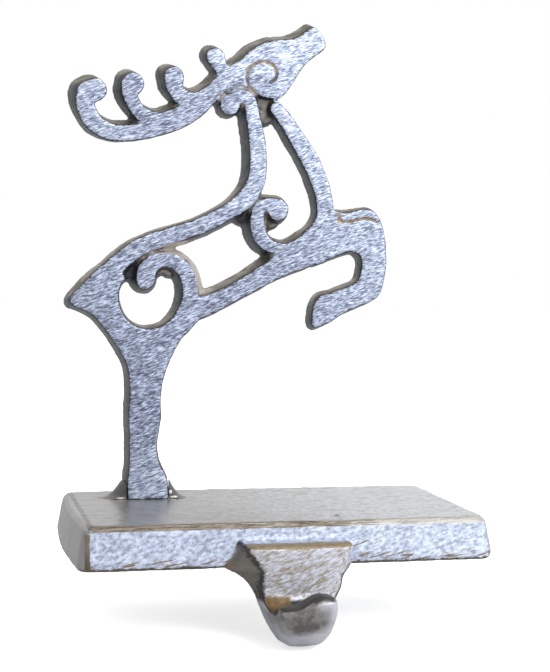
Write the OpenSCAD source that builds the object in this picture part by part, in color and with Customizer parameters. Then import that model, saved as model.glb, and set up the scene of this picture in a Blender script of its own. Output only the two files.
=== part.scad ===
// Mantel stocking holder: a cast tray base with an integral hook, and a cast
// scrollwork reindeer that stands on it, brazed at the foot.
// Frame: +X to the right, +Y to the back, +Z up. The origin is on the seat,
// in the middle of the base's front rim.

/* [Base] */
// Width of the base across its corners
base_w = 143; // [130:1:170]
// Depth of the base, front to back
base_d = 74; // [66:1:90]
// Height of the base
base_h = 14.5; // [13:0.5:18]
// How far each side of the base leans in over its height
base_taper = 1.8; // [1:0.1:2.5]
// How far the left end of the base bows out
end_bow = 1.6; // [0.5:0.1:3]
// Height of the rounded edge round the foot
foot_h = 2; // [1:0.1:3]
// How far the edge at the foot comes in
foot_in = 0.8; // [0.4:0.1:1.2]
// Height of the rounded edge round the top
edge_h = 1.5; // [1:0.1:2]
// How far the rounded edge comes in
edge_in = 1.5; // [1:0.1:2]
// Radius of the base's corners, seen from above
corner_r = 4; // [1.5:0.5:8]
// Width of the rim that the base stands on
rim_w = 5; // [4:0.5:7]
// Thickness of the plate above the hollow
plate_t = 5; // [4:0.5:7]
// How far the hollow's walls lean in over its height
hollow_taper = 1; // [0.5:0.1:2]

/* [Hook] */
// Thickness of the hook's bar
hook_t = 8; // [6:0.5:9]
// Width of the hook's shank
hook_w = 27; // [22:1:30]
// Width of the hook's tip
tip_w = 20; // [16:1:22]
// Clear width of the hook's throat, front to back
throat_w = 8; // [6:0.5:12]
// Depth of the hook's saddle below the seat
saddle_drop = 10.5; // [9:0.5:14]
// Depth of the hook's lowest point below the seat
hook_drop = 23; // [22.5:0.5:32]
// How far the tip rises above the middle of the bend
tip_rise = 2; // [1:0.5:6]
// Depth of the hook's ledge below the top of the base
ledge_drop = 6; // [5:0.5:8]

/* [Reindeer] */
// Height of the reindeer, from its foot to its nose
figure_h = 173; // [150:1:190]
// Thickness of the reindeer
figure_t = 8; // [6:0.5:10]
// Place of the foot's middle, to the right of the base's middle
figure_x = -41.7; // [-45:0.1:-35]
// Distance from the reindeer's flat back to the back of the base
figure_back = 15.8; // [8:0.2:24]
// How far every edge grows outward towards the flat back
side_grow = 1.7; // [1:0.1:2]
// Depth of the eased front edge
ease_h = 0.8; // [0.5:0.1:1.2]
// How far the eased front edge comes in
ease_in = 0.5; // [0.3:0.1:0.8]
// Width of a carved groove at the front face
groove_w = 1.5; // [1:0.1:2]
// Depth of a carved groove
groove_h = 1.6; // [1:0.1:2.5]

/* [Brazing] */
// How far the left braze fillet runs out over the base
left_reach = 9; // [7:0.5:11]
// How far the right braze fillet runs out over the base
right_reach = 6.5; // [5:0.5:8]
// How far a braze fillet runs up the foot
braze_rise = 7; // [6:0.5:8]

/* [Hidden] */
// Overrun of every cut past the face that it opens
overrun = 0.5;
front_y = -rim_w / 2;
middle_y = front_y + base_d / 2;
hollow_h = base_h - plate_t;
roof_in = rim_w + hollow_taper;
ledge_z = base_h - ledge_drop;
bend_r = (throat_w + hook_t) / 2;
bend_z = throat_w / 2 - saddle_drop;
belly_t = hook_drop - saddle_drop - hook_t;
shank_y = front_y - hook_t / 2;
tip_y = shank_y - 2 * bend_r;
plate_y = front_y + base_d - figure_back;

// Corner radius of the hollow
hollow_r = 4;
// Where the rounded edge at the foot is split, as a share of its size
foot_share = 0.35;
// Bowed left end: [place along the end, how far it stands out]
bow_shares = [[-0.8, 0.3], [-0.4, 0.82], [0, 1], [0.4, 0.82], [0.8, 0.3]];
corner_steps = 6;
disc_steps = 24;
// Where the rounded top edge of the base is split, as a share of its height
edge_share = 0.4;
// Fullness of the hook's section and the number of its points
section_n = 4;
section_steps = 16;
// Hook in the base: [height, front width, back width, front shift, back shift, sink in the rim, thickness]
root_shares = [
    [1, 1.28, 1.42, -0.01, -0.01, 0.5, 0.84],
    [0.88, 1.34, 1.5, -0.01, -0.01, 0.5, 1],
    [0.6, 1.24, 1.6, 0, -0.02, 0.5, 1],
    [0.25, 1.12, 1.7, 0.03, -0.07, 0.4, 1],
    [0.04, 1.08, 1.79, 0.05, -0.155, 0.25, 1]
];
// Shank below the seat: [depth down to the bend, front width, back width, front shift, back shift]
shank_shares = [
    [0.18, 1, 1.56, 0.05, -0.104],
    [0.42, 0.96, 1.38, 0.05, -0.08],
    [0.72, 0.95, 1.29, 0.055, -0.043],
    [1, 0.93, 1.22, 0.05, -0.02]
];
// Bend: [part of the half turn, inner and outer width by the shank's, width by the tip's, belly, shift]
bend_shares = [
    [0.1, 0.92, 1.04, 0.03, 0.1, 0],
    [0.2, 0.84, 0.8, 0.15, 0.42, -0.01],
    [0.32, 0.64, 0.48, 0.36, 0.86, -0.015],
    [0.45, 0.46, 0.24, 0.54, 1, -0.02],
    [0.58, 0.3, 0.06, 0.68, 0.97, -0.03],
    [0.72, 0.16, 0.01, 0.81, 0.76, -0.037],
    [0.86, 0.06, 0, 0.91, 0.44, -0.037],
    [1, 0, 0, 0.95, 0.18, -0.037]
];
// Rounded end of the tip: [height above the bend's middle, width, thickness]
tip_shares = [
    [0.3, 0.91, 1],
    [0.65, 0.8, 0.94],
    [0.9, 0.6, 0.78],
    [1, 0.34, 0.54]
];
// Shift of the tip, as a share of the shank's width
tip_shift_share = -0.037;

// Reindeer: all shares are of its height, from the middle of its foot.
// Bars: [across, up, half width] along each bar's middle line
beam_shares = [
    [-0.141, 0.820, 0.0185], [-0.137, 0.802, 0.0185], [-0.127, 0.780, 0.019], [-0.109, 0.763, 0.0185],
    [-0.078, 0.753, 0.0175], [-0.031, 0.7565, 0.0165], [0.015, 0.769, 0.0175], [0.056, 0.786, 0.018],
    [0.090, 0.810, 0.0185], [0.120, 0.840, 0.0175], [0.144, 0.868, 0.018], [0.172, 0.890, 0.019]
];
tine_two_shares = [
    [-0.049, 0.840, 0.0175], [-0.045, 0.823, 0.016], [-0.033, 0.803, 0.0155], [-0.013, 0.788, 0.0165],
    [0.020, 0.781, 0.019], [0.060, 0.796, 0.020]
];
tine_three_shares = [
    [0.041, 0.854, 0.017], [0.049, 0.841, 0.016], [0.063, 0.832, 0.018], [0.085, 0.828, 0.017],
    [0.110, 0.838, 0.016], [0.135, 0.860, 0.015]
];
neck_shares = [
    [0.201, 0.838, 0.014], [0.208, 0.818, 0.016], [0.212, 0.795, 0.0165], [0.219, 0.760, 0.0175],
    [0.2235, 0.720, 0.0185], [0.2225, 0.680, 0.0195], [0.213, 0.650, 0.0205], [0.193, 0.624, 0.0195],
    [0.160, 0.600, 0.0175], [0.104, 0.570, 0.0175], [0.053, 0.552, 0.018], [0.004, 0.535, 0.018],
    [-0.034, 0.515, 0.019], [-0.069, 0.485, 0.0195], [-0.103, 0.453, 0.0205], [-0.133, 0.427, 0.0165],
    [-0.154, 0.412, 0.011]
];
chest_shares = [
    [0.260, 0.820, 0.0145], [0.270, 0.809, 0.0148], [0.289, 0.7865, 0.0165], [0.308, 0.759, 0.0185],
    [0.327, 0.7315, 0.0197], [0.346, 0.699, 0.020], [0.361, 0.665, 0.0195], [0.371, 0.630, 0.019],
    [0.372, 0.600, 0.019], [0.363, 0.570, 0.022], [0.345, 0.548, 0.024]
];
chest_scroll_shares = [
    [0.246, 0.622, 0.012], [0.229, 0.609, 0.014], [0.224, 0.585, 0.016], [0.228, 0.561, 0.0165],
    [0.240, 0.542, 0.016], [0.260, 0.530, 0.014], [0.285, 0.524, 0.015], [0.310, 0.528, 0.018],
    [0.340, 0.543, 0.022]
];
belly_shares = [
    [0.088, 0.392, 0.0215], [0.130, 0.409, 0.021], [0.180, 0.434, 0.019],
    [0.215, 0.454, 0.020], [0.250, 0.476, 0.022], [0.285, 0.496, 0.025], [0.320, 0.511, 0.027],
    [0.360, 0.532, 0.028]
];
haunch_scroll_shares = [
    [-0.008, 0.474, 0.020], [0.006, 0.490, 0.018], [0.030, 0.498, 0.0155], [0.054, 0.492, 0.0165],
    [0.072, 0.476, 0.0175], [0.082, 0.453, 0.018], [0.085, 0.426, 0.018], [0.081, 0.400, 0.019],
    [0.070, 0.370, 0.0215], [0.050, 0.351, 0.020]
];
// Webs: bars that stay below the front face
haunch_web_shares = [
    [0.035, 0.506, 0.014], [0.064, 0.499, 0.014], [0.086, 0.479, 0.014], [0.097, 0.453, 0.014],
    [0.101, 0.429, 0.0145]
];
rump_web_shares = [[-0.044, 0.466, 0.012], [-0.034, 0.476, 0.014]];
neck_web_shares = [[0.242, 0.803, 0.015], [0.245, 0.817, 0.014], [0.241, 0.833, 0.015], [0.230, 0.843, 0.013]];
curl_web_shares = [[0.142, 0.834, 0.010], [0.166, 0.856, 0.010], [0.190, 0.857, 0.010], [0.214, 0.848, 0.010]];
nose_web_shares = [[0.280, 0.961, 0.008], [0.305, 0.975, 0.008], [0.322, 0.986, 0.007]];
scroll_web_shares = [[0.244, 0.581, 0.015], [0.266, 0.584, 0.0115]];
eye_web_shares = [[0.012, 0.471, 0.010], [0.029, 0.478, 0.009], [0.045, 0.470, 0.008]];
back_web_shares = [[0.192, 0.589, 0.010], [0.202, 0.585, 0.010]];
// Growth of the sides to the back, as shares of the full growth, where it is less
crown_draft_share = 0.6;
lean_draft_share = 0.7;
belly_draft_share = 0.85;
chest_draft_share = 0.5;
curl_draft_share = 0.4;
tip_draft_share = 0.4;
// How far the flat back lies off the front face, as shares of the full growth: [to the right, up]
crown_shift_share = [-0.35, 0.88];
neck_shift_share = [-0.25, -0.45];
chest_shift_share = [0.2, 0];
belly_shift_share = [0, 0.2];
foreleg_shift_share = [0.5, 0];
no_shift_share = [0, 0];
// Height of the webs, as a share of the reindeer's thickness
web_share = 0.55;

// Round ends: pairs of [across, up, radius], joined by a taper
crown_drop_shares = [
    [[-0.119, 0.838, 0.0245], [-0.1345, 0.832, 0.0225]],
    [[-0.042, 0.855, 0.0235], [-0.049, 0.840, 0.0175]],
    [[0.042, 0.8735, 0.0215], [0.043, 0.852, 0.0175]],
    [[0.128, 0.919, 0.0205], [0.147, 0.883, 0.0125]]
];
curl_drop_shares = [
    [[0.161, 0.822, 0.0215], [0.180, 0.844, 0.012]],
    [[0.180, 0.8445, 0.012], [0.201, 0.838, 0.014]]
];
scroll_drop_shares = [
    [[0.269, 0.609, 0.0235], [0.248, 0.622, 0.012]],
    [[-0.010, 0.455, 0.0205], [-0.007, 0.475, 0.0205]]
];

// Sides of the foot, and how far its right side leans in for each unit of height
foot_left_share = 0.040;
foot_right_share = 0.047;
foot_lean_share = 0.05;

// Patches: outlines of the wide areas, anticlockwise
head_shares = [
    [0.129, 0.862], [0.140, 0.852], [0.152, 0.857], [0.163, 0.863], [0.180, 0.864], [0.196, 0.861],
    [0.207, 0.855], [0.219, 0.846], [0.235, 0.840], [0.252, 0.839], [0.266, 0.842], [0.277, 0.850],
    [0.289, 0.865], [0.300, 0.882], [0.314, 0.905], [0.328, 0.922], [0.345, 0.936], [0.363, 0.950],
    [0.367, 0.961], [0.360, 0.976], [0.349, 0.989], [0.337, 0.996], [0.326, 0.989], [0.310, 0.977],
    [0.290, 0.968], [0.265, 0.964], [0.240, 0.959], [0.217, 0.949], [0.200, 0.938], [0.186, 0.923],
    [0.170, 0.911], [0.151, 0.900], [0.137, 0.893], [0.135, 0.886], [0.136, 0.874]
];
foreleg_shares = [
    [0.335, 0.520], [0.355, 0.494], [0.380, 0.506], [0.405, 0.516], [0.425, 0.523], [0.441, 0.524],
    [0.452, 0.516], [0.457, 0.502], [0.455, 0.483], [0.451, 0.466], [0.440, 0.456], [0.420, 0.448],
    [0.402, 0.442], [0.385, 0.435], [0.368, 0.431], [0.358, 0.421], [0.351, 0.405], [0.348, 0.385],
    [0.348, 0.368], [0.356, 0.360], [0.374, 0.367], [0.396, 0.377], [0.413, 0.390], [0.429, 0.398],
    [0.451, 0.407], [0.476, 0.418], [0.497, 0.430], [0.507, 0.452], [0.512, 0.480], [0.514, 0.510],
    [0.512, 0.540], [0.507, 0.569], [0.499, 0.593], [0.485, 0.611], [0.467, 0.618], [0.440, 0.613],
    [0.415, 0.609], [0.392, 0.611], [0.375, 0.600], [0.355, 0.565]
];
leg_shares = [
    [-foot_left_share, -0.030], [foot_right_share + 0.03 * foot_lean_share, -0.030],
    [foot_right_share, 0], [foot_right_share - 0.03 * foot_lean_share, 0.030],
    [0.043, 0.043], [0.036, 0.058], [0.027, 0.076], [0.022, 0.095], [0.021, 0.115],
    [0.023, 0.134], [0.0265, 0.152], [0.028, 0.172], [0.027, 0.192], [0.0275, 0.215], [0.030, 0.240],
    [0.036, 0.264], [0.044, 0.286], [0.053, 0.307],
    [0.066, 0.331], [0.080, 0.348], [0.095, 0.363], [0.108, 0.378], [0.105, 0.395], [0.080, 0.408],
    [0.062, 0.404], [0.053, 0.385], [0.040, 0.370], [0.021, 0.360], [0.001, 0.355], [-0.018, 0.357],
    [-0.037, 0.366], [-0.051, 0.380], [-0.059, 0.396], [-0.064, 0.415], [-0.064, 0.432], [-0.058, 0.447],
    [-0.050, 0.458], [-0.070, 0.475], [-0.105, 0.455], [-0.135, 0.430], [-0.163, 0.413], [-0.158, 0.399],
    [-0.138, 0.391], [-0.120, 0.382], [-0.106, 0.369], [-0.090, 0.350], [-0.075, 0.330], [-0.063, 0.312],
    [-0.052, 0.292], [-0.044, 0.273], [-0.040, 0.250], [-0.039, 0.220], [-0.040, 0.180], [-0.038, 0.140],
    [-0.037, 0.100], [-0.037, 0.070], [-foot_left_share, 0.045], [-foot_left_share, 0.030],
    [-foot_left_share, 0]
];
// Braze: clearance to the foot's side, stations and points, hollow of its face, and size at its ends
braze_gap = 0.03;
braze_steps = 6;
braze_points = 5;
braze_power = 2.3;
braze_end_share = 0.45;
// Carved grooves: [across, up]
cheek_groove_shares = [
    [0.222, 0.843], [0.206, 0.857], [0.197, 0.872], [0.196, 0.888], [0.202, 0.902], [0.212, 0.911],
    [0.225, 0.916], [0.238, 0.915], [0.250, 0.910], [0.258, 0.901], [0.260, 0.890], [0.255, 0.880],
    [0.246, 0.873]
];
shoulder_groove_shares = [
    [0.401, 0.594], [0.411, 0.589], [0.430, 0.590], [0.450, 0.595], [0.468, 0.597], [0.484, 0.593],
    [0.505, 0.583]
];

// Catmull-Rom curve between b and c
function between(a, b, c, d, t) =
    (2 * b + (c - a) * t + (2 * a - 5 * b + 4 * c - d) * t * t + (3 * b - a - 3 * c + d) * t * t * t) / 2;
function wrapped(list, i) = list[(i + len(list)) % len(list)];
function clamped(list, i) = list[max(0, min(len(list) - 1, i))];
function open_curve(list, steps) = concat(
    [for (i = [0:len(list) - 2])
        for (s = [0:steps - 1])
            between(clamped(list, i - 1), list[i], list[i + 1], clamped(list, i + 2), s / steps)],
    [list[len(list) - 1]]
);
function closed_curve(list, steps) = [
    for (i = [0:len(list) - 1])
        for (s = [0:steps - 1])
            between(wrapped(list, i - 1), list[i], wrapped(list, i + 1), wrapped(list, i + 2), s / steps)
];
function unit(v) = v / norm(v);
function flat(p) = [p[0], p[1]];
function heading(a, b) = unit(flat(b) - flat(a));
function left_of(v) = [-v[1], v[0]];
function spoke(p, r, angle) = flat(p) + r * [cos(angle), sin(angle)];

// Outline of a bar, grown by d on every side, with round ends
function bar_ring(line, d, cap_steps) =
    let (last = len(line) - 1)
    let (way = [for (i = [0:last]) heading(clamped(line, i - 1), clamped(line, i + 1))])
    let (end_a = atan2(way[last][1], way[last][0]))
    let (start_a = atan2(way[0][1], way[0][0]))
    concat(
        [for (i = [0:last]) flat(line[i]) - (line[i][2] + d) * left_of(way[i])],
        [for (k = [1:cap_steps - 1]) spoke(line[last], line[last][2] + d, end_a - 90 + 180 * k / cap_steps)],
        [for (i = [last:-1:0]) flat(line[i]) + (line[i][2] + d) * left_of(way[i])],
        [for (k = [1:cap_steps - 1]) spoke(line[0], line[0][2] + d, start_a + 90 + 180 * k / cap_steps)]
    );
// Closed outline, grown by d
function patch_ring(loop, d) = [
    for (i = [0:len(loop) - 1])
        loop[i] - d * left_of(heading(wrapped(loop, i - 1), wrapped(loop, i + 1)))
];

// Solid through rings of the same number of points, one above the other
module skin(rings) {
    n = len(rings[0]);
    top = (len(rings) - 1) * n;
    polyhedron(
        points = [for (ring = rings) for (p = ring) p],
        faces = concat(
            [[for (i = [0:n - 1]) i]],
            [[for (i = [n - 1:-1:0]) top + i]],
            [for (k = [0:len(rings) - 2])
                for (i = [0:n - 1])
                    for (half = [0, 1])
                        let (j = (i + 1) % n)
                        half == 0
                            ? [k * n + i, (k + 1) * n + i, (k + 1) * n + j]
                            : [k * n + i, (k + 1) * n + j, k * n + j]]
        )
    );
}
function at_height(ring, z, shift = [0, 0]) = [for (p = ring) [p[0] + shift[0], p[1] + shift[1], z]];
function disc_ring(centre, r) = [for (k = [0:disc_steps - 1]) spoke(centre, r, 360 * k / disc_steps)];

// Solids with sloping sides and an eased front edge, whose flat back is grown and shifted
module drafted_bar(shares, height, draft, shift_share) {
    line = open_curve(figure_h * shares, 3);
    back = side_grow * height / figure_t;
    skin([
        at_height(bar_ring(line, draft * back, 5), 0, shift_share * back),
        at_height(bar_ring(line, 0, 5), height - ease_h),
        at_height(bar_ring(line, -ease_in, 5), height)
    ]);
}

module drafted_patch(shares, draft, shift_share) {
    loop = closed_curve(figure_h * shares, 2);
    skin([
        at_height(patch_ring(loop, draft * side_grow), 0, shift_share * side_grow),
        at_height(patch_ring(loop, 0), figure_t - ease_h),
        at_height(patch_ring(loop, -ease_in), figure_t)
    ]);
}

module drafted_disc(place, draft, shift_share) {
    centre = figure_h * flat(place);
    r = figure_h * place[2];
    skin([
        at_height(disc_ring(centre, r + draft * side_grow), 0, shift_share * side_grow),
        at_height(disc_ring(centre, r), figure_t - ease_h),
        at_height(disc_ring(centre, r - ease_in), figure_t)
    ]);
}

module round_ends(pairs, draft, shift_share) {
    for (pair = pairs) {
        hull() {
            drafted_disc(pair[0], draft, shift_share);
            drafted_disc(pair[1], draft, shift_share);
        }
    }
}

module groove(shares) {
    line = open_curve(figure_h * shares, 2);
    for (i = [0:len(line) - 2]) {
        hull() {
            groove_point(line[i]);
            groove_point(line[i + 1]);
        }
    }
}

module groove_point(p) {
    slope = groove_w / 2 / groove_h;
    translate([p[0], p[1], figure_t - groove_h])
        cylinder(h = groove_h + overrun, r1 = 0, r2 = slope * (groove_h + overrun), $fn = 8);
}

module scrollwork() {
    crown_bars = [beam_shares, tine_two_shares, tine_three_shares];
    scroll_bars = [chest_scroll_shares, haunch_scroll_shares];
    upper_webs = [curl_web_shares, neck_web_shares, nose_web_shares, scroll_web_shares, back_web_shares];
    lower_webs = [haunch_web_shares, rump_web_shares, eye_web_shares];
    for (bar = crown_bars) drafted_bar(bar, figure_t, crown_draft_share, crown_shift_share);
    for (bar = scroll_bars) drafted_bar(bar, figure_t, 1, no_shift_share);
    for (web = concat(upper_webs, lower_webs)) drafted_bar(web, figure_t * web_share, 1, no_shift_share);
    drafted_bar(neck_shares, figure_t, lean_draft_share, neck_shift_share);
    drafted_bar(chest_shares, figure_t, chest_draft_share, chest_shift_share);
    drafted_bar(belly_shares, figure_t, belly_draft_share, belly_shift_share);
    drafted_patch(head_shares, crown_draft_share, crown_shift_share);
    drafted_patch(foreleg_shares, lean_draft_share, foreleg_shift_share);
    drafted_patch(leg_shares, lean_draft_share, no_shift_share);
    round_ends(crown_drop_shares, tip_draft_share, crown_shift_share);
    round_ends(curl_drop_shares, curl_draft_share, no_shift_share);
    round_ends(scroll_drop_shares, 1, no_shift_share);
}

module reindeer() {
    color("lightsteelblue")
        translate([figure_x, plate_y, base_h])
            rotate([90, 0, 0])
                difference() {
                    scrollwork();
                    groove(cheek_groove_shares);
                    groove(shoulder_groove_shares);
                    translate([-figure_h / 2, -figure_h, -overrun])
                        cube([figure_h, figure_h, figure_t + 2 * overrun]);
                }
}

// Outline of the tray at one height: round corners, and a left end that bows out
function corner_arc(x, y, r, start, z) = [
    for (k = [0:corner_steps])
        let (angle = start + 90 * k / corner_steps)
        [x + r * cos(angle), y + r * sin(angle), z]
];
function tray_ring(width, depth, r, bow, z) =
    let (x = width / 2 - r)
    let (y = depth / 2 - r)
    concat(
        corner_arc(x, -y, r, -90, z),
        corner_arc(x, y, r, 0, z),
        corner_arc(-x, y, r, 90, z),
        [for (s = bow_shares) [-x - r - bow * s[1], -y * s[0], z]],
        corner_arc(-x, -y, r, 180, z)
    );
function base_ring(inset, z) = tray_ring(base_w - 2 * inset, base_d - 2 * inset, corner_r, end_bow, z);

module tray() {
    difference() {
        skin([
            base_ring(foot_in, 0),
            base_ring(foot_in * foot_share, foot_h * foot_share),
            base_ring(0, foot_h),
            base_ring(base_taper, base_h - edge_h),
            base_ring(base_taper + edge_in * (1 - edge_share), base_h - edge_h * edge_share),
            base_ring(base_taper + edge_in, base_h)
        ]);
        skin([
            tray_ring(base_w - 2 * rim_w, base_d - 2 * rim_w, hollow_r, end_bow, -overrun),
            tray_ring(base_w - 2 * rim_w, base_d - 2 * rim_w, hollow_r, end_bow, 0),
            tray_ring(base_w - 2 * roof_in, base_d - 2 * roof_in, hollow_r, end_bow, hollow_h)
        ]);
    }
}

// Rounded section of the hook's bar: its front, or inner, side faces into the throat
function power(v, n) = sign(v) * pow(abs(v), 2 / n);
function hook_ring(y, z, turn, widths, shifts, thick, sink) = [
    for (k = [0:section_steps - 1])
        let (a = power(cos(360 * k / section_steps), section_n))
        let (b = power(sin(360 * k / section_steps), section_n))
        let (near = (1 + b) / 2)
        let (half_w = (near * widths[0] + (1 - near) * widths[1]) / 2)
        let (shift = near * shifts[0] + (1 - near) * shifts[1])
        let (reach = b > 0 ? b * (thick - hook_t / 2) : b * (hook_t / 2 + sink))
        [shift + a * half_w, y - reach * cos(turn), z + reach * sin(turn)]
];
function root_ring(s) =
    hook_ring(shank_y, s[0] * ledge_z, 0, hook_w * [s[1], s[2]], hook_w * [s[3], s[4]],
        s[6] * hook_t, s[5] * rim_w);
function shank_ring(s) =
    hook_ring(shank_y, s[0] * bend_z, 0, hook_w * [s[1], s[2]], hook_w * [s[3], s[4]], hook_t, 0);
function bend_ring(s) =
    let (turn = 180 * s[0])
    hook_ring(shank_y - bend_r * (1 - cos(turn)), bend_z - bend_r * sin(turn), turn,
        hook_w * [s[1], s[2]] + s[3] * tip_w * [1, 1], s[5] * hook_w * [1, 1], hook_t, s[4] * belly_t);
function tip_ring(s) =
    hook_ring(tip_y, bend_z + tip_rise * s[0], 180, s[1] * tip_w * [1, 1], tip_shift_share * hook_w * [1, 1],
        (1 + s[2]) * hook_t / 2, (s[2] - 1) * hook_t / 2);

module hook() {
    skin(concat(
        [for (s = root_shares) root_ring(s)],
        [for (s = shank_shares) shank_ring(s)],
        [for (s = bend_shares) bend_ring(s)],
        [for (s = tip_shares) tip_ring(s)]
    ));
}

module base() {
    color("slategray") {
        translate([0, middle_y, 0])
            tray();
        hook();
    }
}

// Fillet of braze on the right of a foot whose side stands at side_x and leans in by lean.
// It runs out over the base by out.
module braze(side_x, lean, out) {
    skin([
        for (k = [0:braze_steps])
            let (s = k / braze_steps)
            let (size = sqrt(1 - braze_end_share * pow(2 * s - 1, 2)))
            let (y = plate_y - (figure_t - ease_h) * (1 - s))
            let (x = side_x + side_grow * s + braze_gap)
            concat(
                [[x, y, base_h]],
                [for (i = [0:braze_points])
                    let (t = i / braze_points)
                    let (up = braze_rise * size * pow(1 - t, braze_power))
                    [x + out * size * t - lean * up * (1 - t), y, base_h + up]]
            )
    ]);
}

module braze_right() {
    color("dimgray")
        translate([figure_x, 0, 0])
            braze(figure_h * foot_right_share, foot_lean_share, right_reach);
}

module braze_left() {
    color("dimgray")
        translate([figure_x, 0, 0])
            mirror([1, 0, 0])
                braze(figure_h * foot_left_share, 0, left_reach);
}

base();
reindeer();
braze_left();
braze_right();
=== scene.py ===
import math

import bpy
import numpy as np
from mathutils import Matrix, Vector


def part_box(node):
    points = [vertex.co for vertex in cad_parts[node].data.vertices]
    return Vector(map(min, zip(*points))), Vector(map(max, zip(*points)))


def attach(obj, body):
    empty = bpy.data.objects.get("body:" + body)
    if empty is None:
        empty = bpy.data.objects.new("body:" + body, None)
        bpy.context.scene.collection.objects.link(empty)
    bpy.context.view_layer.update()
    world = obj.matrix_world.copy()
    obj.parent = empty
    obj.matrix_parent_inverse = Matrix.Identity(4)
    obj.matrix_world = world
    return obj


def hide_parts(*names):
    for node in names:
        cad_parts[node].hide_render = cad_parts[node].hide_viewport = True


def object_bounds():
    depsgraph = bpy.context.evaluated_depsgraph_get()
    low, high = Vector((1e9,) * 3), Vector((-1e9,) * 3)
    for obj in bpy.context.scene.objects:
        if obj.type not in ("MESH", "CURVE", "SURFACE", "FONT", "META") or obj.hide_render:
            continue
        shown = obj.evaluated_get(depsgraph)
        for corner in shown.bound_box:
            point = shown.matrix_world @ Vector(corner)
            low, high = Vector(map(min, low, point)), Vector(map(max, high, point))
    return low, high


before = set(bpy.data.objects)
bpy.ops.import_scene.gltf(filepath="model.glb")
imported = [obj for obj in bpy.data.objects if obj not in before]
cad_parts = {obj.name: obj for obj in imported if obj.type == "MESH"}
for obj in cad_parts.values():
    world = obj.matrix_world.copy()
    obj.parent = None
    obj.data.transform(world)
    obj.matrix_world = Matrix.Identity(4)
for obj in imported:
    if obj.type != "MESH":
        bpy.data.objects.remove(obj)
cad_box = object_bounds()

MM = 0.001

# Camera of the photograph, with its focal length in pixels of the photograph
PHOTO_H = 672
FOCAL_PX = 1300
SENSOR = 36.0
NEAR_CLIP = 0.01
CAMERA_AT = Vector((-116.1, -411.9, 95.1)) * MM
CAMERA_YAW = math.radians(14.72)
CAMERA_PITCH = math.radians(2.57)
CAMERA_ROLL = math.radians(1.30)

# Floor, backdrop and lamps, in metres
FLOOR_DROP = 0.5 * MM
FLOOR_REACH = 4.0
FLOOR_COLOUR = (0.86, 0.86, 0.86, 1)
FLOOR_ROUGHNESS = 0.9
FLOOR_LIFT = 0.62
WHITE = (1, 1, 1, 1)
BACKDROP_LIGHT = 0.55
BACKDROP_SEEN = 1.0
LAMP_AIM = (0, 0.02, 0.10)
LAMP_SIZE = 0.6
KEY_AT = (0.42, -0.50, 0.62)
KEY_POWER = 6.0
FILL_AT = (-0.5, 0.8, 0.6)
FILL_POWER = 5.0

# Casting skin: rounds and depth that tell a hollow from a ridge, and the cells of its noises
CAVITY_ROUNDS = 36
CAVITY_DEPTH = 0.5 * MM
DRIFT_CELL = (3.4 * MM, 3.4 * MM, 3.4 * MM)
PIT_CELL = (1.9 * MM, 1.1 * MM, 1.1 * MM)
FINE_PIT_CELL = (1.1 * MM, 0.8 * MM, 0.7 * MM)
FINE_PIT_SHARE = 0.6
NOISE_VALUES = 4096
NOISE_STEPS = (73, 1789, 3037)

# All places below are in the object's millimetres, and most are ellipsoids with a centre and a reach.
# Webs of the reindeer that are filled nearly to the front, from one depth to another
FILLED_WEBS = (((-9.5, 52, 164), (12, 8, 5.5)), ((8, 52, 158.5), (8, 8, 6)))
WEB_FRONT = 0.7
WEB_BACK = 4.4
WEB_FADE = 0.8
# Parts of the reindeer that flare to the left, by so much at the full depth
FLARES = (((-60, 52, 172), (40, 20, 26), 0.9), ((-71, 52, 97), (12, 20, 12), 0.8))
FLARE_DEPTH = 8
# Stretch of the belly that is levelled, and the way up from its line
BELLY_AT = (20.4, 50, 99.95)
BELLY_REACH = (5.0, 20, 3.2)
BELLY_UP = (-0.38, 0.144, 1.0)
# Left side of the hook's tongue: how far it drops, and over which stretch
TONGUE_DROP = 3.4
DROP_RIGHT = 3.5
DROP_SPAN = 9.0
DROP_BOTTOM = -13.0
DROP_RISE = 6.0
DROP_BACK = -16.5
DROP_FADE = 1.0

# Turns that make the sand-cast grain and the cracks rise to the right on the front faces
GRAIN_TURN = (0, math.radians(20), 0)
HOOK_TURN = (0, math.radians(24), 0)
CRACK_TURN = (0, math.radians(12), 0)
# Turns of the streaks and scrapes on the top of the base
STREAK_TURN = (0, 0, math.radians(-25))
SCRAPE_TURN = (0, 0, math.radians(-12))
# Range of the grain in which the silver goes from dark to middle, and from middle to light
GRAIN_LOW = (0.38, 0.50)
GRAIN_HIGH = (0.51, 0.62)

# Painted light on the reindeer's front, brighter upward and to the right: none at this x and z, and more
# by so much a millimetre
TONE_X = -43
TONE_Z = 50
TONE_RIGHT = 0.0022
TONE_UP = 0.0067
# Painted light at the foot of the leg, which is lighter again, and painted shade on parts darker than
# their height gives: antlers, belly, crown
LIT_FOOT_Z = (44, 18)
LIT_FOOT = 0.6
SHADED_PARTS = (
    ((-36, 50, 159), (34, 20, 22), 0.42),
    ((-8, 50, 100), (42, 30, 24), 0.2),
    ((-6, 50, 163), (13, 12, 9), 0.4),
)
# Tan webs and the sides beside them, and the corners of the webs painted black as shade
WARM_PLACES = (
    ((-34, 52, 104), (14, 9, 5)),
    ((-9, 52, 164), (10, 9, 5)),
    ((-2, 52, 114), (4, 9, 5)),
    ((-22.5, 52, 97), (7, 9, 12)),
)
SHADED_CORNERS = (((-47, 51, 96), (6.5, 9, 7.5)), ((-9.5, 51, 115), (5, 9, 5)))
# Brown groove of the shoulder, and the worn line up from it
SHOULDER_AT = (36, 48, 113)
SHOULDER_REACH = (18, 12, 10)
JOIN_AT = (28.2, 48, 118.2)
JOIN_REACH = (1.0, 3, 4.2)
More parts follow.
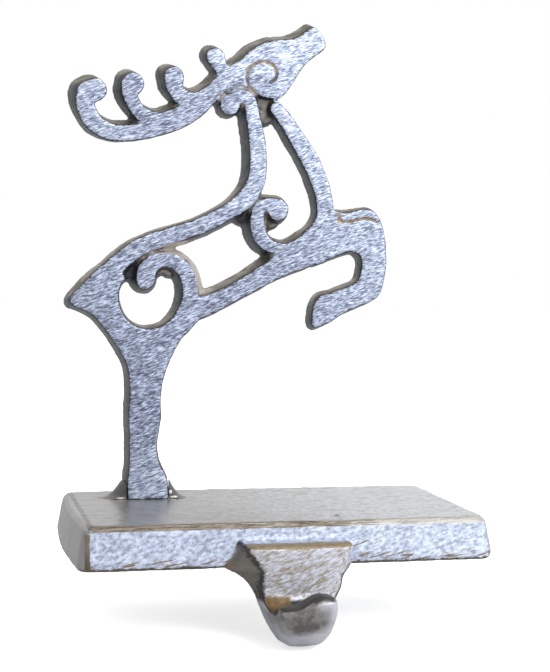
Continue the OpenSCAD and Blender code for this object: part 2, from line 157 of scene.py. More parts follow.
# Painted glints on the fillets of filler
BRAZE_GLINTS = (
    ((-32.8, 48.5, 17), (0.8, 3, 0.8)),
    ((-31.4, 48.8, 15.2), (1.5, 3, 0.4)),
    ((-50.6, 49.5, 15.1), (2.0, 3, 0.4)),
)

# A pair says where a colour starts to show and where it is full, along x, y, z or the depth
SIDE_DEPTH = (1.0, 6.0)
WARM_DEPTH = (7.0, 6.0)
WEB_DEPTH = (1.7, 2.4)
GROOVE_DEPTH = (2.6, 2.0)
FILLER_FOOT_Z = (16.6, 15.0)
FACES_FRONT = (0.60, 0.80)
# Tray: its width, dull ends and back, rounded upper edge and front-left corner painted brown as shade,
# and a brown foot
TRAY_X = (-70, 70)
END_X = (-68.7, -69.1)
BACK_Y = (70.0, 70.8)
TIP_X = (-66.6, -67.2)
TIP_Z = (12.0, 12.6)
TOP_Z = (12.0, 13.0)
BAND_X = (-67.2, -66.4)
BAND_Z = (12.2, 12.8)
CORNER_RIGHT_X = (-67.2, -67.7)
CORNER_LEFT_X = (-69.3, -68.9)
CORNER_Y = (2.4, 1.2)
CORNER_Z = (12.6, 11.8)
FOOT_Z = (1.3, 0.7)
BROWN_RISE_Z = (2.0, 9.0)
# Tray: cracks along its foot, a scratch that rises from the ledge, and a dark brown line along its left
# end
CRACK_Z = (4.6, 3.0)
SCRATCH_SLOPE = 0.35
SCRATCH_LOW_Z = (-1.6, -1.25)
SCRATCH_HIGH_Z = (-0.8, -1.1)
SCRATCH_LEFT_X = (20.0, 20.8)
SCRATCH_RIGHT_X = (26.8, 25.2)
END_LINE_RIGHT_X = (-66.0, -66.6)
END_LINE_LEFT_X = (-68.3, -67.6)
# Painted dark reflections on the top with their strength, and pits with the share of their reach that
# fades
TOP_REFLECTIONS = (((-47, 30, 14.5), (13, 26, 9), 0.4), ((-30, 10, 14.5), (40, 14, 9), 0.25))
PITS = (((17.8, 8.4, 14.5), (1.0, 2.0, 1.0), 0.5), ((16.6, 7.8, 14.5), (2.6, 1.0, 1.0), 0.9))
# Hook: what hangs in front of the tray or below it, its left side painted as a slanting face in shade,
# ledge, saddle and tongue
HANGS_Y = (-3.2, -3.8)
HANGS_Z = (-0.2, -0.6)
SLANT = 0.7
SLANT_X = (-11.2, -12.4)
SHADE_X = (-15.0, -12.6)
RIM_Z = (-1.0, 2.0)
LEDGE_TOP_Z = (11.0, 10.0)
LEDGE_Y = (-6.0, -4.4)
LEDGE_Z = (0, 4)
SADDLE_Y = (-14.6, -15.6)
SADDLE_X = (-4.2, -3.0)
TONGUE_Y = (-16.8, -18.4)
TONGUE_Z = (-8.6, -10.4)
TONGUE_AT = (-3.4, -24, -11.7)
TONGUE_REACH = (11.5, 60, 7.8)
LIP_LEFT_X = (-1.5, 0.5)
LIP_RIGHT_X = (8.5, 6.0)


def seen(red, green, blue):
    """A colour given as it looks on a screen, as linear values."""
    return tuple(((v / 255 + 0.055) / 1.055) ** 2.4 for v in (red, green, blue))


# Silver paint: its dark, middle and light, in a shaded copy and a lit copy that the painted light mixes
PLATE_SHADED = (seen(74, 78, 96), seen(130, 137, 160), seen(194, 206, 236))
PLATE_LIT = (seen(122, 132, 160), seen(184, 196, 222), seen(238, 246, 255))
TRAY_SHADED = (seen(146, 151, 170), seen(178, 187, 210), seen(204, 213, 232))
TRAY_LIT = (seen(160, 168, 191), seen(192, 203, 223), seen(216, 226, 241))
HOOK_SILVER = (seen(156, 146, 135), seen(187, 187, 193), seen(214, 218, 236))
# Bare and worn places, painted shade and painted light
SHADE_BLACK = seen(40, 42, 50)
SIDE_SHADE_DARK = seen(62, 64, 68)
SIDE_SHADE_GREY = seen(84, 86, 89)
EDGE_BROWN = seen(62, 55, 46)
SIDE_TAN = seen(140, 135, 126)
SIDE_BROWN = seen(96, 90, 81)
RECESS_SHADE = seen(54, 53, 55)
RECESS_GREY = seen(152, 144, 138)
RECESS_TAN = seen(186, 179, 171)
GROOVE_SHADE = seen(96, 95, 102)
GROOVE_TAN = seen(150, 136, 122)
GROOVE_BROWN = seen(132, 114, 94)
# Top of the tray: greys of painted light, lighter to the right, and the colour of its scrapes and of
# painted dark reflections
TOP_SHADED_GREY = seen(152, 152, 153)
TOP_LIT_GREY = seen(197, 200, 205)
TOP_STAIN_AND_REFLECTION = seen(118, 112, 106)
END_GREY = seen(136, 135, 135)
# Rounded upper edge and front-left corner of the tray, painted brown as shade, and the lit colour of the
# edge
BAND_DARK = seen(84, 76, 64)
BAND_TAN = seen(134, 123, 110)
BAND_LIT = seen(184, 181, 176)
LEDGE_TAN = seen(140, 124, 98)
LEDGE_DARK = seen(126, 111, 88)
# Left side of the hook, painted as shade
HOOK_SHADED_SIDE = seen(106, 101, 95)
HOOK_SHADE = seen(44, 43, 44)
SADDLE_TAN = seen(124, 99, 62)
SADDLE_BROWN = seen(97, 80, 55)
SADDLE_DARK = seen(54, 51, 47)
TONGUE_DARK = seen(88, 86, 84)
TONGUE_MIDDLE = seen(126, 123, 120)
TONGUE_LIGHT = seen(186, 187, 196)
FLECK = seen(128, 114, 100)
PIT = seen(46, 42, 40)
BRAZE_DARK = seen(78, 78, 79)
# Painted glint on the filler
BRAZE_GLINT_WHITE = seen(240, 240, 240)
BRAZE_BROWN = seen(114, 105, 96)

plate_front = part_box("reindeer")[0].y
base_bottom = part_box("base")[0].z


def value_noise(points, size, seed):
    """Smooth noise from -1 to 1 at points, whose cells measure size along each axis."""
    table = np.random.RandomState(seed).uniform(-1, 1, NOISE_VALUES)
    cell = points / np.asarray(size)
    corner = np.floor(cell).astype(np.int64)
    part = cell - corner
    part = part * part * (3 - 2 * part)
    total = np.zeros(len(points))
    for dx in (0, 1):
        for dy in (0, 1):
            for dz in (0, 1):
                at = corner + (dx, dy, dz)
                key = (at @ NOISE_STEPS) % NOISE_VALUES
                share = (
                    np.abs(1 - dx - part[:, 0])
                    * np.abs(1 - dy - part[:, 1])
                    * np.abs(1 - dz - part[:, 2])
                )
                total += share * table[key]
    return total


def points_of(mesh):
    """Places of the vertices, a row each."""
    co = np.zeros(len(mesh.vertices) * 3)
    mesh.vertices.foreach_get("co", co)
    return co.reshape(-1, 3)


def normals_of(mesh):
    """Facing of the vertices, a row each."""
    no = np.zeros(len(mesh.vertices) * 3)
    mesh.vertices.foreach_get("normal", no)
    return no.reshape(-1, 3)


def neighbour_mean(mesh, values, rounds):
    """Averages values over neighbouring vertices, several times over."""
    ends = np.zeros(len(mesh.edges) * 2, np.int64)
    mesh.edges.foreach_get("vertices", ends)
    a, b = ends.reshape(-1, 2).T
    count = np.bincount(ends, minlength=len(values)).astype(float)
    count[count == 0] = 1
    for _ in range(rounds):
        total = np.zeros_like(values)
        for column in range(values.shape[1]):
            total[:, column] = np.bincount(a, values[b, column], len(values))
            total[:, column] += np.bincount(b, values[a, column], len(values))
        values = 0.5 * values + 0.5 * total / count[:, None]
    return values


def set_points(mesh, points):
    """Moves the vertices to new places."""
    mesh.vertices.foreach_set("co", points.astype(np.float32).ravel())
    mesh.update()


def keep_value(mesh, name, values):
    """Keeps one number a vertex, for the materials to read."""
    attribute = mesh.attributes.new(name, "FLOAT", "POINT")
    attribute.data.foreach_set("value", values.astype(np.float32))


def inside(points, centre, size, edge=0.5):
    """1 inside an ellipsoid in millimetres, fading out over its edge, as a share of its size."""
    far = np.linalg.norm((points / MM - centre) / size, axis=1)
    part = np.clip((1 - far) / edge, 0, 1)
    return part * part * (3 - 2 * part)


def work_plate(points):
    """Fills the webs at crown and cheek, levels the belly, and flares antlers and rump to the back."""
    depth = (points[:, 1] - plate_front) / MM
    moved = points.copy()
    raised = np.clip(depth - WEB_FRONT, 0, None) * np.clip((WEB_BACK - depth) / WEB_FADE, 0, 1)
    for centre, size in FILLED_WEBS:
        moved[:, 1] -= inside(points, centre, size) * raised * MM
    below = np.clip((BELLY_AT - points / MM) @ BELLY_UP, 0, None)
    moved[:, 2] += inside(points, BELLY_AT, BELLY_REACH, 0.3) * below * MM
    back = np.clip(depth / FLARE_DEPTH, 0, 1)
    for centre, size, reach in FLARES:
        moved[:, 0] -= inside(points, centre, size) * back * reach * MM
    return moved


def work_hook(points):
    """Lowers the left of the hook's tongue, where the casting broke off unevenly."""
    x, y, z = points.T / MM
    left = np.clip((DROP_RIGHT - x) / DROP_SPAN, 0, 1)
    high = np.clip((z - DROP_BOTTOM) / DROP_RISE, 0, 1)
    ahead = np.clip((DROP_BACK - y) / DROP_FADE, 0, 1)
    moved = points.copy()
    moved[:, 2] -= TONGUE_DROP * left * left * (3 - 2 * left) * high * ahead * MM
    return moved


def no_work(points):
    """Leaves a piece as it is."""
    return points


def cast_piece(node, name, voxel, soften, wave, grain, seed, work=no_work):
    """Remeshes a CAD node finely, softens its edges and gives it the uneven skin of a sand casting."""
    source = bpy.data.objects.new(name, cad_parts[node].data.copy())
    bpy.context.scene.collection.objects.link(source)
    remesh = source.modifiers.new("fine", "REMESH")
    remesh.mode = "VOXEL"
    remesh.voxel_size = voxel
    graph = bpy.context.evaluated_depsgraph_get()
    mesh = bpy.data.meshes.new_from_object(source.evaluated_get(graph))
    source.modifiers.clear()
    source.data = mesh
    mesh.materials.clear()
    sharp = points_of(mesh)
    soft = work(neighbour_mean(mesh, sharp, soften))
    set_points(mesh, soft)
    facing = normals_of(mesh)
    wide = neighbour_mean(mesh, soft, CAVITY_ROUNDS)
    cavity = ((wide - soft) * facing).sum(1) / CAVITY_DEPTH
    keep_value(mesh, "cavity", np.clip(cavity, -1, 1))
    keep_value(mesh, "front", np.clip(-facing[:, 1], 0, 1))
    keep_value(mesh, "up", np.clip(facing[:, 2], -1, 1))
    keep_value(mesh, "right", np.clip(facing[:, 0], -1, 1))
    drift = np.stack([value_noise(soft, DRIFT_CELL, seed + axis) for axis in range(3)], 1)
    pits = value_noise(soft, PIT_CELL, seed + 3)
    pits += FINE_PIT_SHARE * value_noise(soft, FINE_PIT_CELL, seed + 4)
    set_points(mesh, np.clip(soft + wave * drift + grain * pits[:, None] * facing, *cad_box))
    for polygon in mesh.polygons:
        polygon.use_smooth = True
    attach(source, "root")
    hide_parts(node)
    return source


class Shader:
    """A small builder for node materials."""

    def __init__(self, name):
        self.material = bpy.data.materials.new(name)
        self.material.use_nodes = True
        self.tree = self.material.node_tree
        self.tree.nodes.clear()

    def node(self, kind, inputs=None, **settings):
        """Adds a node, with its inputs set or linked."""
        made = self.tree.nodes.new(kind)
        for key, value in settings.items():
            setattr(made, key, value)
        for key, value in (inputs or {}).items():
            if isinstance(value, bpy.types.NodeSocket):
                self.tree.links.new(value, made.inputs[key])
            else:
                made.inputs[key].default_value = value
        return made

    def value(self, name):
        """A number that the mesh keeps at each vertex."""
        return self.node("ShaderNodeAttribute", attribute_name=name).outputs["Fac"]

    def math(self, operation, a, b=0.0, clamp=False):
        made = self.node("ShaderNodeMath", {0: a, 1: b}, operation=operation, use_clamp=clamp)
        return made.outputs[0]

    def between(self, value, low, high, to_low=0.0, to_high=1.0):
        """Goes smoothly from to_low to to_high as the value goes from low to high."""
        ends = {"From Min": low, "From Max": high, "To Min": to_low, "To Max": to_high}
        made = self.node("ShaderNodeMapRange", {"Value": value, **ends}, interpolation_type="SMOOTHSTEP")
        return made.outputs["Result"]

    def both(self, a, b):
        return self.math("MULTIPLY", a, b)

    def either(self, a, b):
        return self.math("MAXIMUM", a, b)

    def survey(self, blotch_size):
        """Keeps the place in millimetres, the facing and a blotchy noise, for what is painted by them."""
        self.x, self.y, self.z = self.node("ShaderNodeSeparateXYZ", {0: self.place()}).outputs
        self.front, self.up, self.right = (self.value(name) for name in ("front", "up", "right"))
        self.blotch = self.noise(self.place(), blotch_size, 3.0, 0.6)

    def spot(self, centre, size, edge, noise=None, by=0.0):
        """1 inside an ellipsoid in millimetres, fading out over its edge, as a share of its size."""
        where = self.node("ShaderNodeTexCoord").outputs["Object"]
        scale = tuple(1 / (MM * v) for v in size)
        shift = tuple(-c / v for c, v in zip(centre, size))
        inputs = {"Vector": where, "Scale": scale, "Location": shift}
        near = self.node("ShaderNodeMapping", inputs).outputs[0]
        far = self.node("ShaderNodeVectorMath", {0: near}, operation="LENGTH").outputs["Value"]
        if noise is not None:
            far = self.sway(far, noise, by)
        return self.between(far, 1.0, 1.0 - edge)

    def sway(self, value, noise, by):
        """The value, pushed up and down by a noise."""
        return self.math("ADD", value, self.both(self.math("SUBTRACT", noise, 0.5), by))

    def mix(self, share, a, b):
        """Colour a, with so much of colour b over it."""
        made = self.node("ShaderNodeMix", data_type="RGBA")
        pairs = ((made.inputs[0], share), (made.inputs[6], a), (made.inputs[7], b))
        for socket, value in pairs:
            if isinstance(value, bpy.types.NodeSocket):
                self.tree.links.new(value, socket)
            else:
                socket.default_value = value if socket.type == "VALUE" else (*value, 1)
        return made.outputs[2]

    def place(self, turn=(0, 0, 0), stretch=(1, 1, 1)):
        """Object coordinates in millimetres, turned and stretched."""
        where = self.node("ShaderNodeTexCoord").outputs["Object"]
        turned = self.node("ShaderNodeMapping", {"Vector": where, "Rotation": turn}).outputs[0]
        scale = tuple(1 / (MM * s) for s in stretch)
        return self.node("ShaderNodeMapping", {"Vector": turned, "Scale": scale}).outputs[0]

    def noise(self, where, size, detail, rough):
        """Noise from 0 to 1 whose features measure about size."""
        inputs = {"Vector": where, "Scale": 1 / size, "Detail": detail, "Roughness": rough}
        return self.node("ShaderNodeTexNoise", inputs).outputs["Fac"]

    def finish(self, colour, roughness, height, bump, metallic):
        """Ends the material in a metal whose grain stands out by the bump."""
        bumped = self.node("ShaderNodeBump", {"Height": height, "Strength": 1.0, "Distance": bump})
        shader = self.node(
            "ShaderNodeBsdfPrincipled",
            {
                "Base Color": colour,
                "Roughness": roughness,
                "Metallic": metallic,
                "Specular IOR Level": 0.5,
                "Normal": bumped.outputs["Normal"],
            },
        )
        output = self.node("ShaderNodeOutputMaterial")
        self.tree.links.new(shader.outputs[0], output.inputs["Surface"])
        return self.material


def grain(s, turn, size, stretch):
    """Streaky sand-cast grain, from 0 to 1."""
    where = s.place(turn, (stretch, 1.4, 1))
    fine = s.noise(where, size, 1.5, 0.6)
    coarse = s.noise(where, size * 3.0, 1.0, 0.5)
    return s.math("ADD", s.both(fine, 0.8), s.both(coarse, 0.2))


def silver(s, height, tone, shaded_copy, lit_copy):
    """Silver paint whose colour follows the grain, partly its own mottling and partly painted shade in
    the pits and painted glints on the peaks.
    """
    dark, middle, light = (s.mix(tone, a, b) for a, b in zip(shaded_copy, lit_copy))
    low = s.mix(s.between(height, *GRAIN_LOW), dark, middle)
    return s.mix(s.between(height, *GRAIN_HIGH), low, light)


def plate_silver(s, height):
    """Silver front of the reindeer with painted light: brighter upward and to the right, darker towards
    the middle of the leg, lighter again at its foot, and painted shade on antlers, belly and crown.
    """
    rise = s.both(s.math("SUBTRACT", s.z, TONE_Z), TONE_UP)
    tone = s.math("ADD", rise, s.both(s.math("SUBTRACT", s.x, TONE_X), TONE_RIGHT), clamp=True)
    # Painted light at the foot of the leg
    tone = s.math("ADD", tone, s.between(s.z, *LIT_FOOT_Z, 0, LIT_FOOT))
    # Painted shade on antlers, belly and crown
    for centre, size, share in SHADED_PARTS:
        tone = s.math("SUBTRACT", tone, s.both(s.spot(centre, size, 0.5), share), clamp=True)
    return silver(s, height, tone, PLATE_SHADED, PLATE_LIT)


def plate_side(s, depth, patch):
    """Bare sides in painted shade: near black behind the front edge, dark grey to the back, tan and brown
    on top.
    """
    up = s.between(s.up, 0.2, 0.75)
    top = s.mix(s.between(patch, 0.38, 0.62), SIDE_BROWN, SIDE_TAN)
    back = s.mix(up, s.mix(s.between(s.blotch, 0.35, 0.65), SIDE_SHADE_DARK, SIDE_SHADE_GREY), top)
    # Painted shade: near black just behind the front edge
    edge = s.mix(up, SHADE_BLACK, EDGE_BROWN)
    reach = s.math("ADD", s.sway(depth, s.blotch, 3.0), s.both(up, 0.8))
    return s.mix(s.between(reach, *SIDE_DEPTH), edge, back)


def plate_groove(s, patch):
    """Colour of the two carved grooves: painted shade in dark grey, tan, and brown at the shoulder."""
    carved = s.mix(s.between(s.sway(patch, s.blotch, 0.5), 0.42, 0.58), GROOVE_SHADE, GROOVE_TAN)
    return s.mix(s.spot(SHOULDER_AT, SHOULDER_REACH, 0.3), carved, GROOVE_BROWN)


def reindeer_paint():
    s = Shader("reindeer_paint")
    s.survey(1.6)
    depth = s.math("SUBTRACT", s.y, plate_front / MM)
    patch = s.noise(s.place(), 5.0, 1.0, 0.5)
    height = grain(s, GRAIN_TURN, 0.38, 5.0)

    side = plate_side(s, depth, patch)
    # Recesses: painted shade in dark patches among grey-brown
    recess = s.mix(s.between(s.sway(patch, s.blotch, 0.3), 0.36, 0.60), RECESS_SHADE, RECESS_GREY)
    for centre, size in WARM_PLACES:
        warm = s.spot(centre, size, 0.4, s.blotch, 0.5)
        recess = s.mix(warm, recess, RECESS_TAN)
        side = s.mix(s.both(warm, s.between(depth, *WARM_DEPTH)), side, RECESS_TAN)
    # Painted shade: the corners of the webs in black
    for centre, size in SHADED_CORNERS:
        recess = s.mix(s.spot(centre, size, 0.4, s.blotch, 0.4), recess, SHADE_BLACK)

    face = s.between(s.sway(s.front, height, 0.8), *FACES_FRONT)
    ahead = s.mix(s.between(depth, *WEB_DEPTH), plate_silver(s, height), recess)
    colour = s.mix(face, side, ahead)
    hollow = s.between(s.sway(s.value("cavity"), s.blotch, 0.03), 0.014, 0.05)
    groove = s.both(s.both(hollow, s.between(depth, *GROOVE_DEPTH)), s.between(s.front, 0.2, 0.4))
    colour = s.mix(groove, colour, plate_groove(s, patch))
    join = s.both(s.spot(JOIN_AT, JOIN_REACH, 0.5, s.blotch, 0.5), face)
    colour = s.mix(join, colour, GROOVE_TAN)
    rough = s.between(height, 0.35, 0.65, 0.55, 0.38)
    return s.finish(colour, rough, height, 0.24 * MM, 0.3)


def tray_front(s, light_across, height):
    """Grainy silver, brighter to the right as painted light, with brown flecks, cracks along its foot and
    a scratch beside the ledge.
    """
    paint = silver(s, height, light_across, TRAY_SHADED, TRAY_LIT)
    paint = s.mix(s.between(s.noise(s.place(), 1.1, 2.0, 0.6), 0.68, 0.75), paint, FLECK)
    crack = s.noise(s.place(CRACK_TURN, (6, 1, 0.8)), 1.2, 1.0, 0.5)
    crack = s.between(s.sway(crack, s.blotch, 0.1), 0.54, 0.64)
    paint = s.mix(s.both(crack, s.between(s.sway(s.z, s.blotch, 3), *CRACK_Z)), paint, FLECK)
    rise = s.math("SUBTRACT", s.z, s.both(s.sway(s.x, s.blotch, 1.5), SCRATCH_SLOPE))
    scratch = s.both(s.between(rise, *SCRATCH_LOW_Z), s.between(rise, *SCRATCH_HIGH_Z))
    span = s.both(s.between(s.x, *SCRATCH_LEFT_X), s.between(s.x, *SCRATCH_RIGHT_X))
    return s.mix(s.both(scratch, span), paint, FLECK)


def tray_top(s, light_across):
    """Smooth grey, lighter to the right as painted light, with darker scrapes, painted dark reflections,
    pits and a dark brown line along its left end.
    """
    streak = s.noise(s.place(STREAK_TURN, (1.6, 3.2, 1)), 0.9, 2.0, 0.6)
    # Painted light: lighter to the right
    grey = s.mix(s.between(s.sway(light_across, streak, 1.8), 0.1, 1.2), TOP_SHADED_GREY, TOP_LIT_GREY)
    scrape = s.noise(s.place(SCRAPE_TURN, (3.2, 1.6, 1)), 1.5, 2.0, 0.6)
    grey = s.mix(s.between(scrape, 0.46, 0.7, 0, 0.45), grey, TOP_STAIN_AND_REFLECTION)
    # Painted dark reflections on the top
    for centre, size, strength in TOP_REFLECTIONS:
        grey = s.mix(s.both(s.spot(centre, size, 0.8, streak, 0.3), strength), grey, TOP_STAIN_AND_REFLECTION)
    for centre, size, edge in PITS:
        grey = s.mix(s.spot(centre, size, edge), grey, PIT)
    # A dark brown line along the left end of the top
    along = s.sway(s.x, s.blotch, 0.6)
    end_line = s.both(s.between(along, *END_LINE_RIGHT_X), s.between(along, *END_LINE_LEFT_X))
    return s.mix(s.both(end_line, s.between(streak, 0.3, 0.6, 0.4, 1.0)), grey, SIDE_BROWN)


def tray_edge_shade(s, light_across):
    """Colour of the rounded upper edge: brown lines of painted shade that grow lighter to the right as
    painted light.
    """
    lines = s.noise(s.place(stretch=(14, 1, 0.7)), 0.7, 2.0, 0.6)
    edge_shade = s.mix(s.between(lines, 0.36, 0.52), BAND_DARK, BAND_TAN)
    edge_shade = s.mix(s.between(s.sway(lines, light_across, 0.3), 0.52, 0.66), edge_shade, BAND_LIT)
    return s.mix(s.between(light_across, 0.6, 1.0, 0, 0.7), edge_shade, BAND_LIT)


def tray_paint(s, paint, light_across):
    """Tray: painted front, smooth top with its rounded upper edge painted brown as shade, dull ends and
    back, rounded front-left corner painted brown as shade, and a brown foot.
    """
    tray = s.mix(s.between(s.front, *FACES_FRONT), tray_top(s, light_across), paint)

    end = s.either(s.between(s.sway(s.x, s.blotch, 0.5), *END_X), s.between(s.right, 0.6, 0.8))
    tip = s.both(s.between(s.sway(s.x, s.blotch, 0.6), *TIP_X), s.between(s.z, *TIP_Z))
    end = s.either(s.either(end, tip), s.between(s.y, *BACK_Y))
    tray = s.mix(s.both(end, s.between(s.up, 0.7, 0.4)), tray, END_GREY)

    # Painted shade in brown on the rounded upper edge
    band = s.between(s.sway(s.up, s.blotch, 0.3), 0.22, 0.40)
    band = s.both(band, s.between(s.sway(s.front, s.blotch, 0.3), 0.12, 0.34))
    band = s.both(band, s.between(s.sway(s.x, s.blotch, 0.6), *BAND_X))
    tray = s.mix(s.both(band, s.between(s.z, *BAND_Z)), tray, tray_edge_shade(s, light_across))

    # Painted shade in brown on the rounded front-left corner, and a brown foot
    corner = s.between(s.sway(s.x, s.blotch, 0.9), *CORNER_RIGHT_X)
    corner = s.both(corner, s.between(s.sway(s.x, s.blotch, 0.5), *CORNER_LEFT_X))
    corner = s.both(corner, s.between(s.y, *CORNER_Y))
    corner = s.both(corner, s.between(s.sway(s.z, s.blotch, 1.0), *CORNER_Z))
    foot = s.both(s.between(s.sway(s.z, s.blotch, 3.4), *FOOT_Z), s.between(s.front, 0.3, 0.6))
    corner_shade_and_brown_foot = s.mix(s.between(s.sway(s.z, s.blotch, 5), *BROWN_RISE_Z, 0.0, 0.65), BAND_DARK, BAND_TAN)
    return s.mix(s.both(s.either(corner, foot), s.between(s.up, 0.5, 0.3)), tray, corner_shade_and_brown_foot)


def hook_tongue(s, worn):
    """Bare tongue: light rim, dull middle and dark upper edge."""
    middle = s.spot(TONGUE_AT, TONGUE_REACH, 0.55, worn, 0.5)
    bare = s.noise(s.place(), 4.0, 3.0, 0.6)
    bare = s.mix(s.between(bare, 0.40, 0.60), TONGUE_DARK, TONGUE_MIDDLE)
    lip = s.both(s.between(s.sway(s.up, s.blotch, 0.3), 0.45, 0.7), s.between(s.x, *LIP_LEFT_X))
    lip = s.either(s.both(lip, s.between(s.x, *LIP_RIGHT_X)), s.between(s.up, 0.70, 0.80))
    return s.mix(lip, s.mix(middle, TONGUE_LIGHT, bare), SADDLE_DARK)


def hook_paint(s, paint, bare):
    """Hook: streaky front, sides painted dark as shade, worn ledge and saddle, and a smooth bare tongue.
    """
    streaks = grain(s, HOOK_TURN, 0.45, 4.2)
    worn = s.noise(s.place(stretch=(2, 1, 1)), 3.0, 2.0, 0.6)
    hook = silver(s, s.sway(streaks, worn, -0.25), 0.0, HOOK_SILVER, HOOK_SILVER)

    # Painted shade: the left of the hook's front painted as a slanting side face in shade, darkest by the
    # front edge
    slant = s.math("ADD", s.x, s.both(s.math("MAXIMUM", s.z, 0.0), SLANT))
    slant = s.sway(slant, s.blotch, 3.0)
    left = s.between(slant, *SLANT_X)
    side = s.mix(s.between(s.sway(slant, streaks, 5.0), *SHADE_X), HOOK_SHADED_SIDE, HOOK_SHADE)
    aside = s.between(s.sway(s.front, s.blotch, 0.2), 0.84, 0.66)
    rim = s.both(aside, s.between(s.right, 0.2, 0.4))
    rim = s.both(rim, s.between(s.sway(s.z, s.blotch, 2), *RIM_Z))
    side = s.mix(rim, side, paint)
    hook = s.mix(s.either(aside, left), hook, side)

    ledge = s.mix(s.between(s.blotch, 0.4, 0.6), LEDGE_DARK, LEDGE_TAN)
    ledge = s.mix(s.between(s.sway(s.y, s.blotch, 2.0), *LEDGE_Y), ledge, paint)
    ledge = s.mix(left, ledge, side)
    saddle = s.mix(s.between(s.blotch, 0.35, 0.65), SADDLE_BROWN, SADDLE_TAN)
    saddle = s.mix(s.between(s.sway(s.y, s.blotch, 1.0), *SADDLE_Y), saddle, SADDLE_DARK)
    saddle = s.mix(s.between(s.sway(s.x, s.blotch, 1.6), *SADDLE_X), saddle, hook)
    level = s.mix(s.between(s.z, *LEDGE_Z), saddle, ledge)
    hook = s.mix(s.between(s.sway(s.up, s.blotch, 0.3), 0.30, 0.50), hook, level)
    return s.mix(bare, hook, hook_tongue(s, worn))


def base_paint():
    s = Shader("base_paint")
    s.survey(2.2)
    height = grain(s, GRAIN_TURN, 1.0, 1.8)
    # Painted light: the tray grows brighter from its left end to its right end
    light_across = s.between(s.x, *TRAY_X)
    paint = tray_front(s, light_across, height)
    below = s.both(s.between(s.z, *TONGUE_Z), s.between(s.up, 0.3, 0.1))
    bare = s.either(s.between(s.y, *TONGUE_Y), below)
    ledge = s.both(s.between(s.up, 0.3, 0.5), s.between(s.z, *LEDGE_TOP_Z))
    hung = s.either(s.either(s.between(s.y, *HANGS_Y), s.between(s.z, *HANGS_Z)), ledge)
    colour = s.mix(hung, tray_paint(s, paint, light_across), hook_paint(s, paint, bare))
    top = s.both(s.between(s.up, 0.92, 0.985), s.between(s.z, *TOP_Z))
    rough = s.math("SUBTRACT", 0.5, s.math("ADD", s.both(bare, 0.1), s.both(top, 0.18)))
    deep = s.both(height, s.between(s.either(bare, top), 0.0, 1.0, 1.0, 0.16))
    return s.finish(colour, rough, deep, 0.32 * MM, s.between(top, 0.0, 1.0, 0.3, 0.55))


def braze_metal():
    s = Shader("braze_metal")
    s.survey(2.2)
    run = s.noise(s.place(), 1.6, 2.0, 0.6)
    foot = s.between(s.sway(s.z, run, 2.0), *FILLER_FOOT_Z)
    colour = s.mix(foot, BRAZE_DARK, BRAZE_BROWN)
    # Painted glints on the fillets
    for centre, size in BRAZE_GLINTS:
        colour = s.mix(s.spot(centre, size, 0.5, run, 1.2), colour, BRAZE_GLINT_WHITE)
    return s.finish(colour, 0.35, run, 0.12 * MM, 0.4)


def make_pieces():
    reindeer = cast_piece(
        "reindeer",
        "reindeer_casting",
        voxel=0.55 * MM,
        soften=2,
        wave=0.16 * MM,
        grain=0.06 * MM,
        seed=11,
        work=work_plate,
    )
    reindeer.data.materials.append(reindeer_paint())
    base = cast_piece(
        "base",
        "base_casting",
        voxel=0.75 * MM,
        soften=2,
        wave=0.09 * MM,
        grain=0.07 * MM,
        seed=23,
        work=work_hook,
    )
    base.data.materials.append(base_paint())
    filler = braze_metal()
    for side in ("left", "right"):
        fillet = cast_piece(
            f"braze_{side}",
            f"braze_fillet_{side}",
            voxel=0.25 * MM,
            soften=3,
            wave=0.04 * MM,
            grain=0.0,
            seed=31,
        )
        fillet.data.materials.append(filler)


def make_stage():
    """A plain pale floor that the camera sees as white, apart from the shadow."""
    mesh = bpy.data.meshes.new("floor")
    z = base_bottom - FLOOR_DROP
    corners = [(x * FLOOR_REACH, y * FLOOR_REACH, z) for x, y in ((-1, -1), (1, -1), (1, 1), (-1, 1))]
    mesh.from_pydata(corners, [], [(0, 1, 2, 3)])
    floor = bpy.data.objects.new("floor", mesh)
    bpy.context.scene.collection.objects.link(floor)
    s = Shader("pale_floor")
    camera_ray = s.node("ShaderNodeLightPath").outputs["Is Camera Ray"]
    lift = s.node("ShaderNodeMapRange", {"Value": camera_ray, "To Max": FLOOR_LIFT}).outputs["Result"]
    shader = s.node(
        "ShaderNodeBsdfPrincipled",
        {
            "Base Color": FLOOR_COLOUR,
            "Roughness": FLOOR_ROUGHNESS,
            "Emission Color": WHITE,
            "Emission Strength": lift,
        },
    )
    output = s.node("ShaderNodeOutputMaterial")
    s.tree.links.new(shader.outputs[0], output.inputs["Surface"])
    mesh.materials.append(s.material)


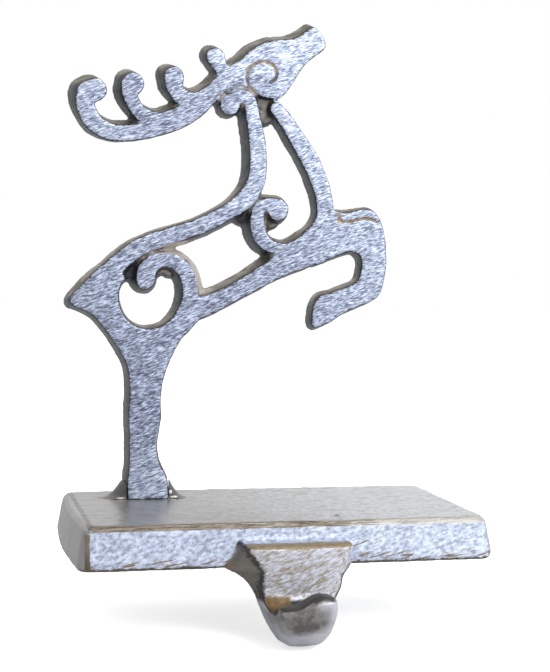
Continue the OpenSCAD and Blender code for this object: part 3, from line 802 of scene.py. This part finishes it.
def make_world():
    """A backdrop that is white to the camera and in reflections, and lights a little less."""
    world = bpy.data.worlds.new("studio")
    world.use_nodes = True
    bpy.context.scene.world = world
    tree = world.node_tree
    background = tree.nodes["Background"]
    path = tree.nodes.new("ShaderNodeLightPath")
    shown = tree.nodes.new("ShaderNodeMath")
    shown.operation = "MAXIMUM"
    tree.links.new(path.outputs["Is Camera Ray"], shown.inputs[0])
    tree.links.new(path.outputs["Is Transmission Ray"], shown.inputs[1])
    any_ray = tree.nodes.new("ShaderNodeMath")
    any_ray.operation = "MAXIMUM"
    tree.links.new(shown.outputs[0], any_ray.inputs[0])
    tree.links.new(path.outputs["Is Glossy Ray"], any_ray.inputs[1])
    level = tree.nodes.new("ShaderNodeMapRange")
    level.inputs["To Min"].default_value = BACKDROP_LIGHT
    level.inputs["To Max"].default_value = BACKDROP_SEEN
    tree.links.new(any_ray.outputs[0], level.inputs["Value"])
    background.inputs["Color"].default_value = WHITE
    tree.links.new(level.outputs["Result"], background.inputs["Strength"])


def area_light(name, at, power):
    """A square lamp that faces the object."""
    lamp = bpy.data.lights.new(name, "AREA")
    lamp.size = LAMP_SIZE
    lamp.energy = power
    made = bpy.data.objects.new(name, lamp)
    bpy.context.scene.collection.objects.link(made)
    made.location = at
    made.rotation_mode = "QUATERNION"
    made.rotation_quaternion = (Vector(LAMP_AIM) - Vector(at)).to_track_quat("-Z", "Y")
    return made


def make_lights():
    area_light("key", KEY_AT, KEY_POWER)
    area_light("back_fill", FILL_AT, FILL_POWER).visible_glossy = False


def make_camera():
    """The camera fitted to the photograph."""
    forward = Vector(
        (
            math.sin(CAMERA_YAW) * math.cos(CAMERA_PITCH),
            math.cos(CAMERA_YAW) * math.cos(CAMERA_PITCH),
            -math.sin(CAMERA_PITCH),
        )
    )
    level = Vector((math.cos(CAMERA_YAW), -math.sin(CAMERA_YAW), 0))
    up = level.cross(forward)
    side = level * math.cos(CAMERA_ROLL) + up * math.sin(CAMERA_ROLL)
    head = up * math.cos(CAMERA_ROLL) - level * math.sin(CAMERA_ROLL)
    data = bpy.data.cameras.new("camera")
    data.sensor_width = SENSOR
    data.lens = FOCAL_PX / PHOTO_H * SENSOR
    data.clip_start = NEAR_CLIP
    camera = bpy.data.objects.new("camera", data)
    bpy.context.scene.collection.objects.link(camera)
    turn = Matrix((side, head, -forward)).transposed().to_4x4()
    camera.matrix_world = Matrix.Translation(CAMERA_AT) @ turn
    bpy.context.scene.camera = camera


make_camera()
make_stage()
make_world()
make_lights()
make_pieces()
bpy.context.scene.view_settings.view_transform = "Standard"
